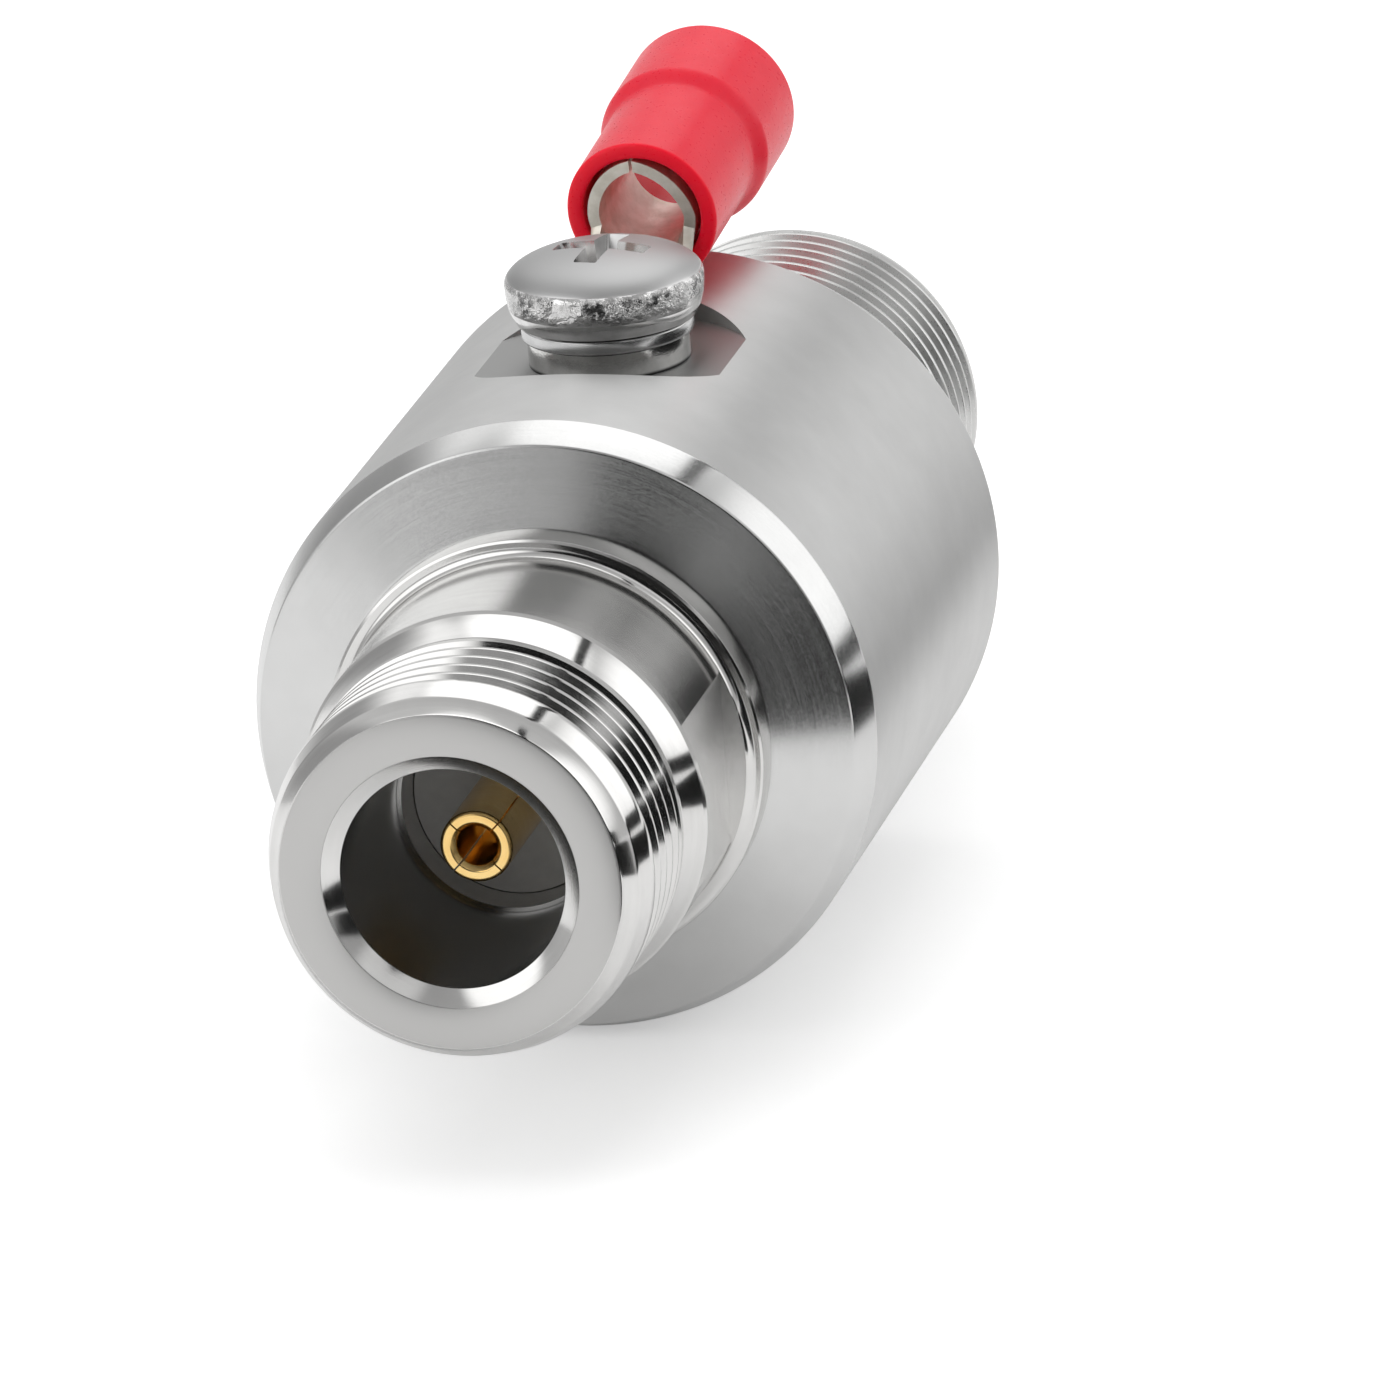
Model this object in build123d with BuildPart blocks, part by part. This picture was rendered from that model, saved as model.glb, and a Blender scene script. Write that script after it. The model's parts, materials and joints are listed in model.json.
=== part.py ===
"""Coaxial lightning arrestor with two screw-on sockets and a ground lug.

The line runs along Y, from the front port at -Y to the rear port at +Y. The origin is the middle of
the body on that line, and the ground screw stands on top, along +Z. Lengths are in millimetres.
A radial gas tube joins the centre conductor to the body when a surge comes down the line.
"""
from build123d import *
from math import cos, radians, sin, sqrt, tan
import os

os.makedirs("parts", exist_ok=True)

# Body
BODY_R = 13.15
BODY_LENGTH = 27.3
EDGE_DROP = 0.6
EDGE_LENGTH = 1.6
FACE_RISE = 0.7
WEB_HALF = 5.45
LINE_R = 7.0

# Connector outside, measured from the port face
THREAD_R = 7.94
THREAD_PITCH = 1.058
THREAD_DEPTH = 0.52
THREAD_ROOT = 0.19
THREAD_ANGLE = 60.0
FACE_R = 7.07
NOSE_ROUND = 0.95
NOSE_LENGTH = 1.9
FRONT_THREAD = 4.9
REAR_THREAD = 7.0
RELIEF_LENGTH = 0.4
CONE_R = 8.38
CONE_LENGTH = 1.7
NECK_R = 8.5
NECK_LENGTH = 7.25
NECK_FILLET = 0.4
BOSS_STEP = 0.7
BOSS_LENGTH = 1.45
BOSS_EDGE = 0.12
FLATS_ACROSS = 15.4
FLAT_END_GAP = 0.25

# Connector inside, measured from the port face
PORT_R = 4.62
PORT_MOUTH_R = 5.36
PORT_MOUTH_DEPTH = 0.5
PORT_DEPTH = 9.7
SEAT_R = 4.42
SEAT_DEPTH = 10.9
INSULATOR_R = 4.2
SHOULDER_DEPTH = 14.5
FLANGE_R = 5.0
INSULATOR_END = 17.0
BUSH_R = 6.0
BUSH_BORE_R = 3.5

# Screwed tail of the connector, inside the body
TAIL_R = 8.5
TAIL_GAP = 0.1
TAIL_CHAMFER = 0.5
GROOVE_START = 0.6
GROOVE_WIDTH = 1.2
GROOVE_DEPTH = 1.0

# Inner conductor
CONTACT_R = 1.5
CONTACT_BORE_R = 0.83
CONTACT_LEAD_IN = 0.22
CONTACT_EDGE = 0.12
CONTACT_TIP_DEPTH = 4.4
CONTACT_BORE_DEPTH = 5.4
SLIT_LENGTH = 4.7
SLIT_WIDTH = 0.16
SLIT_COUNT = 4
SLIT_TURN = 45.0
CONTACT_NECK_R = 1.3
STUB_R = 0.9
STUB_LENGTH = 4.0
STUB_HOLE_EXTRA = 0.4
CONDUCTOR_END_R = 1.52
CONDUCTOR_R = 3.04
CONDUCTOR_HALF = 4.6
CONDUCTOR_CONE = 0.9
SADDLE_DEPTH = 0.34

# Gas tube, on end under the conductor
TUBE_R = 2.75
TUBE_LENGTH = 6.0
ELECTRODE_R = 2.5
ELECTRODE_RIM = 0.7
ELECTRODE_FACE_R = 1.5
SPARK_GAP = 0.8
CERAMIC_BORE_R = 1.9
POCKET_R = 3.1
POCKET_FLOOR = 11.3
SPRING_WIRE = 0.5
SPRING_R = 2.0
SPRING_TURNS = 2.5

# Ground screw and its seat, which is milled down from the top of the body
SEAT_FACE_DROP = 1.09
SEAT_FACE_R = 5.8
SCREW_R = 2.0
SCREW_BELOW_SEAT = 3.9
SCREW_HOLE_DEPTH = 4.4
SCREW_POINT = 0.4
HEAD_R = 4.17
HEAD_FOOT_R = 3.8
HEAD_FOOT = 0.85
HEAD_SIDE = 0.8
HEAD_CROWN = 1.45
RECESS_SPAN = 4.3
RECESS_WING = 1.05
RECESS_DEPTH = 2.0
RECESS_FOOT_SPAN = 2.1
RECESS_FOOT_WING = 0.6
RECESS_TURN = 82.5
WASHER_R = 3.62
WASHER_THICKNESS = 0.75
WASHER_SPLIT = 0.45
WASHER_SPLIT_SLANT = 25.0
WASHER_TURN = 100.0
WASHER_EDGE = 0.08

# Ring terminal on the screw
LUG_SWIVEL = 2.8
LUG_TILT = 8.0
TONGUE_R = 3.4
TONGUE_THICKNESS = 1.1
TONGUE_NECK = 4.2
TONGUE_REACH = 3.8
TROUGH_HALF_ANGLE = 75.0
BARREL_REACH = 5.9
BARREL_RISE = 3.35
BARREL_R = 2.35
BARREL_WALL = 0.5
BARREL_PEAK = 2.48
BARREL_FLAT_R = 2.18
BARREL_LENGTH = 5.2
BARREL_SEAM = 0.14
BARREL_SEAM_SIDE = 0.22
SLEEVE_BORE_R = 2.55
SLEEVE_R = 3.25
SLEEVE_WIDE_R = 3.67
SLEEVE_WIDE_BORE_R = 3.12
SLEEVE_NARROW = 6.1
SLEEVE_LENGTH = 11.6
SLEEVE_FLARE = 0.8
SLEEVE_ROUND = 0.4

# Shared clearances
FIT = 0.02
THREAD_FIT = 0.05
WASHER_FIT = 0.1
LUG_FIT = 0.15
SOFT_GAP = 0.01

SEAT_Y = BODY_LENGTH / 2 + FACE_RISE
SEAT_FACE_HEIGHT = BODY_R - SEAT_FACE_DROP
BOSS_R = TAIL_R + BOSS_STEP
THREAD_END_FRONT = NOSE_LENGTH + FRONT_THREAD
THREAD_END_REAR = NOSE_LENGTH + REAR_THREAD


def seat_distance(thread_end):
    """From the port face to the plane where the boss meets the body."""
    return thread_end + RELIEF_LENGTH + CONE_LENGTH + NECK_LENGTH + BOSS_LENGTH


FRONT_PORT_Y = -(SEAT_Y + seat_distance(THREAD_END_FRONT))
REAR_PORT_Y = SEAT_Y + seat_distance(THREAD_END_REAR)


def save(piece, name):
    piece.part.label = name
    export_step(piece.part, f"parts/{name}.step")


def port_plane(port_y):
    """Plane with its X outwards from the line and its Y from the port face into the body."""
    inward = -1 if port_y > 0 else 1
    return Plane(origin=(0, port_y, 0), x_dir=(1, 0, 0), z_dir=(0, 0, inward))


# Body shell
with BuildPart() as body_shell:
    with BuildSketch(Plane.XY):
        with BuildLine():
            half = BODY_LENGTH / 2
            Polyline(
                (LINE_R, -WEB_HALF),
                (TAIL_R + THREAD_FIT, -WEB_HALF),
                (TAIL_R + THREAD_FIT, -SEAT_Y),
                (BOSS_R, -SEAT_Y),
                (BODY_R - EDGE_DROP, -half),
                (BODY_R, -half + EDGE_LENGTH),
                (BODY_R, half - EDGE_LENGTH),
                (BODY_R - EDGE_DROP, half),
                (BOSS_R, SEAT_Y),
                (TAIL_R + THREAD_FIT, SEAT_Y),
                (TAIL_R + THREAD_FIT, WEB_HALF),
                (LINE_R, WEB_HALF),
                close=True,
            )
        make_face()
    revolve(axis=Axis.Y)
    # Round seat milled across the top for the ring terminal
    with BuildSketch(Plane.XY.offset(SEAT_FACE_HEIGHT)):
        Circle(SEAT_FACE_R)
    extrude(amount=BODY_R, mode=Mode.SUBTRACT)
    # Blind threaded hole of the ground screw
    with Locations(Plane.XY.offset(SEAT_FACE_HEIGHT)):
        Hole(SCREW_R + FIT, depth=SCREW_HOLE_DEPTH)
    # Pocket in the floor of the line bore for the gas tube
    with BuildSketch(Plane.XY.offset(-POCKET_FLOOR)):
        Circle(POCKET_R)
    extrude(amount=POCKET_FLOOR - LINE_R / 2, mode=Mode.SUBTRACT)
save(body_shell, "body_shell")


def connector_shell(port_y, thread_end):
    """Outer conductor of one socket: nose, coupling thread, neck with flats, boss and screwed tail."""
    cone_start = thread_end + RELIEF_LENGTH
    neck_start = cone_start + CONE_LENGTH
    neck_end = neck_start + NECK_LENGTH
    seat = seat_distance(thread_end)
    tail_end = seat + SEAT_Y - WEB_HALF - TAIL_GAP
    groove_start = seat + GROOVE_START
    groove_end = groove_start + GROOVE_WIDTH
    edge = NECK_R - CONE_R
    halfway = 1 - sqrt(0.5)
    with BuildPart() as shell:
        with BuildSketch(port_plane(port_y)):
            with BuildLine():
                Polyline((PORT_MOUTH_R, 0), (FACE_R, 0))
                ThreePointArc(
                    (FACE_R, 0),
                    (THREAD_R - (THREAD_R - FACE_R) * halfway, NOSE_ROUND * halfway),
                    (THREAD_R, NOSE_ROUND),
                )
                Polyline(
                    (THREAD_R, NOSE_ROUND),
                    (THREAD_R, cone_start),
                    (CONE_R, neck_start),
                    (NECK_R, neck_start + edge),
                    (NECK_R, neck_end - NECK_FILLET),
                )
                RadiusArc(
                    (NECK_R, neck_end - NECK_FILLET),
                    (NECK_R + NECK_FILLET, neck_end),
                    NECK_FILLET,
                )
                Polyline(
                    (NECK_R + NECK_FILLET, neck_end),
                    (BOSS_R - BOSS_EDGE, neck_end),
                    (BOSS_R, neck_end + BOSS_EDGE),
                    (BOSS_R, seat),
                    (TAIL_R, seat),
                    (TAIL_R, groove_start),
                    (TAIL_R - GROOVE_DEPTH, groove_start),
                    (TAIL_R - GROOVE_DEPTH, groove_end),
                    (TAIL_R, groove_end),
                    (TAIL_R, tail_end - TAIL_CHAMFER),
                    (TAIL_R - TAIL_CHAMFER, tail_end),
                    (BUSH_R, tail_end),
                    (BUSH_R, INSULATOR_END),
                    (FLANGE_R, INSULATOR_END),
                    (FLANGE_R, SHOULDER_DEPTH),
                    (INSULATOR_R, SHOULDER_DEPTH),
                    (INSULATOR_R, SEAT_DEPTH),
                    (SEAT_R, PORT_DEPTH),
                    (PORT_R, PORT_DEPTH),
                    (PORT_R, PORT_MOUTH_DEPTH),
                    (PORT_MOUTH_R, 0),
                )
            make_face()
        revolve(axis=Axis.Y)
        # Coupling thread as a row of ring grooves, cut a little past the crests
        turns = int((thread_end - NOSE_LENGTH) / THREAD_PITCH)
        first_groove = NOSE_LENGTH + THREAD_PITCH / 2
        over_crest = THREAD_DEPTH / 4
        widening = tan(radians(THREAD_ANGLE / 2))
        with BuildSketch(port_plane(port_y)):
            with Locations([(THREAD_R, first_groove + turn * THREAD_PITCH) for turn in range(turns)]):
                Polygon(
                    (-THREAD_DEPTH, -THREAD_ROOT / 2),
                    (-THREAD_DEPTH, THREAD_ROOT / 2),
                    (over_crest, THREAD_ROOT / 2 + (THREAD_DEPTH + over_crest) * widening),
                    (over_crest, -THREAD_ROOT / 2 - (THREAD_DEPTH + over_crest) * widening),
                    align=None,
                )
        revolve(axis=Axis.Y, mode=Mode.SUBTRACT)
        # Two wrench flats milled along the neck, one each side
        flat_depth = NECK_R - FLATS_ACROSS / 2
        flat_from = neck_start + edge
        flat_to = neck_end - FLAT_END_GAP
        with BuildSketch(port_plane(port_y)):
            with Locations((0, (flat_from + flat_to) / 2)):
                with GridLocations(FLATS_ACROSS + flat_depth * 2, 0, 2, 1):
                    Rectangle(flat_depth * 2, flat_to - flat_from)
        extrude(amount=NECK_R, both=True, mode=Mode.SUBTRACT)
    return shell


front_connector_shell = connector_shell(FRONT_PORT_Y, THREAD_END_FRONT)
save(front_connector_shell, "front_connector_shell")
rear_connector_shell = connector_shell(REAR_PORT_Y, THREAD_END_REAR)
save(rear_connector_shell, "rear_connector_shell")


def insulator(port_y):
    """Stepped disc that carries the socket contact; its flange is caught by the clamp bush."""
    with BuildPart() as disc:
        with BuildSketch(port_plane(port_y)):
            with BuildLine():
                Polyline(
                    (CONTACT_NECK_R + FIT, SEAT_DEPTH),
                    (INSULATOR_R - FIT, SEAT_DEPTH),
                    (INSULATOR_R - FIT, SHOULDER_DEPTH),
                    (FLANGE_R - FIT, SHOULDER_DEPTH),
                    (FLANGE_R - FIT, INSULATOR_END),
                    (CONTACT_NECK_R + FIT, INSULATOR_END),
                    close=True,
                )
            make_face()
        revolve(axis=Axis.Y)
    return disc


def clamp_bush(port_y, thread_end):
    """Ring pressed into the tail behind the insulator, and the outer wall of the air line."""
    tail_end = seat_distance(thread_end) + SEAT_Y - WEB_HALF - TAIL_GAP
    with BuildPart() as bush:
        with BuildSketch(port_plane(port_y)):
            with Locations(((BUSH_R - FIT + BUSH_BORE_R) / 2, (INSULATOR_END + tail_end) / 2)):
                Rectangle(BUSH_R - FIT - BUSH_BORE_R, tail_end - INSULATOR_END)
        revolve(axis=Axis.Y)
    return bush


def socket_contact(port_y):
    """Gold plated socket: slotted fingers, a neck through the insulator and a stub behind it."""
    bore_end = CONTACT_TIP_DEPTH + CONTACT_BORE_DEPTH
    stub_end = INSULATOR_END + STUB_LENGTH
    with BuildPart() as contact:
        with BuildSketch(port_plane(port_y)):
            with BuildLine():
                Polyline(
                    (CONTACT_BORE_R + CONTACT_LEAD_IN, CONTACT_TIP_DEPTH),
                    (CONTACT_R - CONTACT_EDGE, CONTACT_TIP_DEPTH),
                    (CONTACT_R, CONTACT_TIP_DEPTH + CONTACT_EDGE),
                    (CONTACT_R, SEAT_DEPTH),
                    (CONTACT_NECK_R, SEAT_DEPTH),
                    (CONTACT_NECK_R, INSULATOR_END),
                    (STUB_R, INSULATOR_END),
                    (STUB_R, stub_end),
                    (0, stub_end),
                    (0, bore_end + CONTACT_BORE_R / 2),
                    (CONTACT_BORE_R, bore_end),
                    (CONTACT_BORE_R, CONTACT_TIP_DEPTH + CONTACT_LEAD_IN),
                    close=True,
                )
            make_face()
        revolve(axis=Axis.Y)
        # Slits between the fingers, each a blade across half the socket
        into_body = port_plane(port_y).y_dir
        slit_plane = Plane(
            origin=Vector(0, port_y, 0) + into_body * CONTACT_TIP_DEPTH,
            x_dir=(1, 0, 0),
            z_dir=into_body,
        )
        with BuildSketch(slit_plane):
            for index in range(SLIT_COUNT // 2):
                turn = SLIT_TURN + index * 360 / SLIT_COUNT
                Rectangle(CONTACT_R * 3, SLIT_WIDTH, rotation=turn)
        extrude(amount=SLIT_LENGTH, mode=Mode.SUBTRACT)
    return contact


def seal_ring(port_y, thread_end):
    """Rubber ring in the groove of the tail, squeezed by the mouth of the body."""
    middle = seat_distance(thread_end) + GROOVE_START + GROOVE_WIDTH / 2
    section_r = GROOVE_DEPTH / 2 - SOFT_GAP
    with BuildPart() as ring:
        with BuildSketch(port_plane(port_y)):
            with Locations((TAIL_R - GROOVE_DEPTH / 2, middle)):
                Circle(section_r)
        revolve(axis=Axis.Y)
    return ring


for side, port_y, thread_end in (
    ("front", FRONT_PORT_Y, THREAD_END_FRONT),
    ("rear", REAR_PORT_Y, THREAD_END_REAR),
):
    save(insulator(port_y), f"{side}_insulator")
    save(clamp_bush(port_y, thread_end), f"{side}_clamp_bush")
    save(socket_contact(port_y), f"{side}_socket_contact")
    save(seal_ring(port_y, thread_end), f"{side}_seal_ring")

# Centre conductor, thick in the middle with a flat saddle for the gas tube
front_end = FRONT_PORT_Y + INSULATOR_END
rear_end = REAR_PORT_Y - INSULATOR_END
stub_hole = STUB_LENGTH + STUB_HOLE_EXTRA
saddle_height = CONDUCTOR_R - SADDLE_DEPTH
with BuildPart() as centre_conductor:
    with BuildSketch(Plane.XY):
        with BuildLine():
            Polyline(
                (STUB_R + FIT, front_end),
                (CONDUCTOR_END_R, front_end),
                (CONDUCTOR_END_R, -CONDUCTOR_HALF - CONDUCTOR_CONE),
                (CONDUCTOR_R, -CONDUCTOR_HALF),
                (CONDUCTOR_R, CONDUCTOR_HALF),
                (CONDUCTOR_END_R, CONDUCTOR_HALF + CONDUCTOR_CONE),
                (CONDUCTOR_END_R, rear_end),
                (STUB_R + FIT, rear_end),
                (STUB_R + FIT, rear_end - stub_hole),
                (0, rear_end - stub_hole),
                (0, front_end + stub_hole),
                (STUB_R + FIT, front_end + stub_hole),
                close=True,
            )
        make_face()
    revolve(axis=Axis.Y)
    with BuildSketch(Plane.XY.offset(-saddle_height)):
        Circle(POCKET_R)
    extrude(amount=-CONDUCTOR_R, mode=Mode.SUBTRACT)
save(centre_conductor, "centre_conductor")

# Gas tube: ceramic sleeve between two electrodes with a spark gap in the middle
tube_top = -saddle_height
tube_bottom = tube_top - TUBE_LENGTH
face_reach = (TUBE_LENGTH - SPARK_GAP) / 2
with BuildPart() as gas_tube_ceramic:
    with BuildSketch(Plane.XY.offset(tube_bottom + ELECTRODE_RIM)):
        Circle(TUBE_R)
        Circle(CERAMIC_BORE_R, mode=Mode.SUBTRACT)
    extrude(amount=TUBE_LENGTH - 2 * ELECTRODE_RIM)
save(gas_tube_ceramic, "gas_tube_ceramic")


def electrode(outer_z, inward):
    """Cap brazed on the end of the ceramic, with a face that reaches in towards the other one."""
    with BuildPart() as cap:
        with BuildSketch(Plane.XY.offset(outer_z)):
            Circle(ELECTRODE_R)
        extrude(amount=inward * ELECTRODE_RIM)
        with BuildSketch(Plane.XY.offset(outer_z)):
            Circle(ELECTRODE_FACE_R)
        extrude(amount=inward * face_reach)
    return cap


save(electrode(tube_top, -1), "gas_tube_line_electrode")
save(electrode(tube_bottom, 1), "gas_tube_ground_electrode")

# Coil spring that presses the gas tube up against the conductor
spring_rise = POCKET_FLOOR + tube_bottom - SPRING_WIRE
with BuildPart() as gas_tube_spring:
    with BuildLine():
        coil = Helix(
            pitch=spring_rise / SPRING_TURNS,
            height=spring_rise,
            radius=SPRING_R,
            center=(0, 0, -POCKET_FLOOR + SPRING_WIRE / 2),
        )
    with BuildSketch(Plane(origin=coil @ 0, z_dir=coil % 0)):
        Circle(SPRING_WIRE / 2 - SOFT_GAP)
    sweep(path=coil, is_frenet=True)
save(gas_tube_spring, "gas_tube_spring")

# Ground screw, pan head with a cross recess
washer_base = SEAT_FACE_HEIGHT + TONGUE_THICKNESS
head_base = washer_base + WASHER_THICKNESS
head_top = head_base + HEAD_FOOT + HEAD_SIDE + HEAD_CROWN
screw_tip = SEAT_FACE_HEIGHT - SCREW_BELOW_SEAT
with BuildPart() as ground_screw:
    with BuildSketch(Plane.XZ):
        with BuildLine():
            Polyline(
                (0, head_top),
                (0, screw_tip),
                (SCREW_R - SCREW_POINT, screw_tip),
                (SCREW_R, screw_tip + SCREW_POINT),
                (SCREW_R, head_base),
                (HEAD_FOOT_R, head_base),
                (HEAD_R, head_base + HEAD_FOOT),
                (HEAD_R, head_base + HEAD_FOOT + HEAD_SIDE),
            )
            EllipticalCenterArc(
                (0, head_base + HEAD_FOOT + HEAD_SIDE), HEAD_R, HEAD_CROWN, start_angle=0, arc_size=90
            )
        make_face()
    revolve(axis=Axis.Z)
    with BuildSketch(Plane.XY.offset(head_top)):
        Rectangle(RECESS_SPAN, RECESS_WING, rotation=RECESS_TURN)
        Rectangle(RECESS_WING, RECESS_SPAN, rotation=RECESS_TURN)
    with BuildSketch(Plane.XY.offset(head_top - RECESS_DEPTH)):
        Rectangle(RECESS_FOOT_SPAN, RECESS_FOOT_WING, rotation=RECESS_TURN)
        Rectangle(RECESS_FOOT_WING, RECESS_FOOT_SPAN, rotation=RECESS_TURN)
    loft(mode=Mode.SUBTRACT)
save(ground_screw, "ground_screw")

# Split spring washer under the head
with BuildPart() as spring_washer:
    with BuildSketch(Plane.XY.offset(washer_base)):
        Circle(WASHER_R)
        Circle(SCREW_R + WASHER_FIT, mode=Mode.SUBTRACT)
    extrude(amount=WASHER_THICKNESS)
    chamfer(spring_washer.edges().filter_by(GeomType.CIRCLE), WASHER_EDGE)
    split_plane = Plane.XY.offset(washer_base).rotated((0, 0, WASHER_TURN))
    with BuildSketch(Plane(origin=split_plane.origin, x_dir=split_plane.z_dir, z_dir=split_plane.x_dir)):
        with Locations((WASHER_THICKNESS / 2, 0)):
            Rectangle(WASHER_THICKNESS * 3, WASHER_SPLIT, rotation=WASHER_SPLIT_SLANT)
    extrude(amount=WASHER_R * 2, mode=Mode.SUBTRACT)
save(spring_washer, "spring_washer")

# Ring terminal, in a frame whose Y runs from the screw towards the barrel
swivel = radians(LUG_SWIVEL)
tilt = radians(LUG_TILT)
lug_frame = Plane(
    origin=(0, 0, SEAT_FACE_HEIGHT),
    x_dir=(cos(swivel), -sin(swivel), 0),
    z_dir=(0, 0, 1),
)
barrel_axis = lug_frame.y_dir * cos(tilt) + Vector(0, 0, sin(tilt))
barrel_mouth = Plane(
    origin=lug_frame.y_dir * BARREL_REACH + Vector(0, 0, BODY_R + BARREL_RISE),
    x_dir=lug_frame.x_dir * -1,
    z_dir=barrel_axis,
)


def barrel_outline(inset):
    """Rolled barrel seen from its end: round, with a peak at the seam and one side flatter above."""
    side = BARREL_R - inset
    seam = (BARREL_SEAM_SIDE, BARREL_PEAK - inset)
    round_mid = side * sqrt(0.5)
    flat_mid = (BARREL_FLAT_R - inset) * sqrt(0.5)
    ThreePointArc((-side, 0), (0, -side), (side, 0))
    ThreePointArc((side, 0), (round_mid, round_mid), seam)
    ThreePointArc(seam, (-flat_mid, flat_mid), (-side, 0))


def trough_outline():
    """Lower part of the barrel's section, where the tongue curves up into it."""
    inner_r = BARREL_R - BARREL_WALL
    lean = radians(TROUGH_HALF_ANGLE)
    outer_side = (BARREL_R * sin(lean), -BARREL_R * cos(lean))
    inner_side = (inner_r * sin(lean), -inner_r * cos(lean))
    ThreePointArc((-outer_side[0], outer_side[1]), (0, -BARREL_R), outer_side)
    Line(outer_side, inner_side)
    ThreePointArc(inner_side, (0, -inner_r), (-inner_side[0], inner_side[1]))
    Line((-inner_side[0], inner_side[1]), (-outer_side[0], outer_side[1]))


neck_end_plane = Plane(
    origin=lug_frame.origin + lug_frame.y_dir * TONGUE_REACH,
    x_dir=barrel_mouth.x_dir,
    z_dir=lug_frame.y_dir,
)
with BuildPart() as ring_terminal:
    # Flat tongue, a ring round the screw with a short neck
    with BuildSketch(lug_frame):
        Circle(TONGUE_R)
        with Locations((0, TONGUE_REACH / 2)):
            Rectangle(TONGUE_NECK, TONGUE_REACH)
        Circle(SCREW_R + LUG_FIT, mode=Mode.SUBTRACT)
    extrude(amount=TONGUE_THICKNESS)
    # Step up from the neck to the floor of the barrel, curving into a trough
    with BuildSketch(neck_end_plane):
        with Locations((0, TONGUE_THICKNESS / 2)):
            Rectangle(TONGUE_NECK, TONGUE_THICKNESS)
    with BuildSketch(barrel_mouth):
        with BuildLine():
            trough_outline()
        make_face()
    loft()
    # Barrel, rolled up from the same sheet, with the seam on top
    with BuildSketch(barrel_mouth):
        with BuildLine():
            barrel_outline(0)
        make_face()
        with BuildLine():
            barrel_outline(BARREL_WALL)
        make_face(mode=Mode.SUBTRACT)
        with Locations((BARREL_SEAM_SIDE, BARREL_PEAK - BARREL_WALL / 2)):
            Rectangle(BARREL_SEAM, BARREL_WALL * 2, mode=Mode.SUBTRACT)
    extrude(amount=BARREL_LENGTH)
save(ring_terminal, "ring_terminal")

# Insulating sleeve of the terminal, flared behind the barrel
with BuildPart() as insulating_sleeve:
    sleeve_plane = Plane(
        origin=barrel_mouth.origin,
        x_dir=lug_frame.x_dir,
        z_dir=barrel_mouth.y_dir,
    )
    with BuildSketch(sleeve_plane) as sleeve_profile:
        with BuildLine():
            Polyline(
                (SLEEVE_BORE_R, 0),
                (SLEEVE_R, 0),
                (SLEEVE_R, SLEEVE_NARROW),
                (SLEEVE_WIDE_R, SLEEVE_NARROW + SLEEVE_FLARE),
                (SLEEVE_WIDE_R, SLEEVE_LENGTH),
                (SLEEVE_WIDE_BORE_R, SLEEVE_LENGTH),
                (SLEEVE_WIDE_BORE_R, SLEEVE_NARROW + SLEEVE_FLARE),
                (SLEEVE_BORE_R, SLEEVE_NARROW),
                close=True,
            )
        make_face()
        fillet(sleeve_profile.vertices().group_by(Axis.X)[-1], radius=SLEEVE_ROUND)
    revolve(axis=Axis(sleeve_plane.origin, barrel_mouth.z_dir))
save(insulating_sleeve, "insulating_sleeve")
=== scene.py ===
"""Looks of the coaxial lightning arrestor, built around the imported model.

The frame is the model's: the line runs along Y, and the ground screw points up Z. The scene is in metres.
The sizes of the pieces are written in millimetres, and MM turns them into metres.

The connectors with their contacts, the body, the screw, the washer, the terminal and the sleeve are
modelled again here with their fine form: cut threads, closed slits and broken edges. The look of each
metal adds its turned or milled finish.
"""
import json
from math import asin, atan2, cos, degrees, pi, radians, sin, sqrt

import bmesh
import bpy
from mathutils import Matrix, Vector


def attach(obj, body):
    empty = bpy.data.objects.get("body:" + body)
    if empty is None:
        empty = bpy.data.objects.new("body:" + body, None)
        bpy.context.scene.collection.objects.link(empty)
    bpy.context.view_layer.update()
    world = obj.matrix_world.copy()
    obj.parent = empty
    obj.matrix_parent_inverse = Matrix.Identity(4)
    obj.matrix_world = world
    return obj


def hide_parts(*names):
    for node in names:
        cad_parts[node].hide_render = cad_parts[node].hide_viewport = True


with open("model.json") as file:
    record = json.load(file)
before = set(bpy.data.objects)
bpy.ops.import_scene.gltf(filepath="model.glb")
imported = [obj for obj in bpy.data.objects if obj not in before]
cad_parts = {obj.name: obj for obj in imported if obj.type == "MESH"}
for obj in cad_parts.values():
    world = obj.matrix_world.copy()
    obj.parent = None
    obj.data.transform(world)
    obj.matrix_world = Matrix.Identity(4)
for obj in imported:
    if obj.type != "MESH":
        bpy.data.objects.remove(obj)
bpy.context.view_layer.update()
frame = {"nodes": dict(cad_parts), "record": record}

MM = 0.001

# Photograph: a long lens, seen from the front port's side and above
PHOTO_SIDE = 1400
FOCAL_PIXELS = 15000
CAMERA_AT = Vector((151.4, -579.2, 190.4)) * MM
CAMERA_RIGHT = Vector((0.97160, 0.22446, -0.07493))
CAMERA_UP = Vector((0.0, 0.31666, 0.94854))
SENSOR_MM = 36.0

scene = bpy.context.scene
scene.view_settings.view_transform = "Standard"
slots = {s["node"]: s["material_slot"] for s in frame["record"]["subparts"]}

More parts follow.
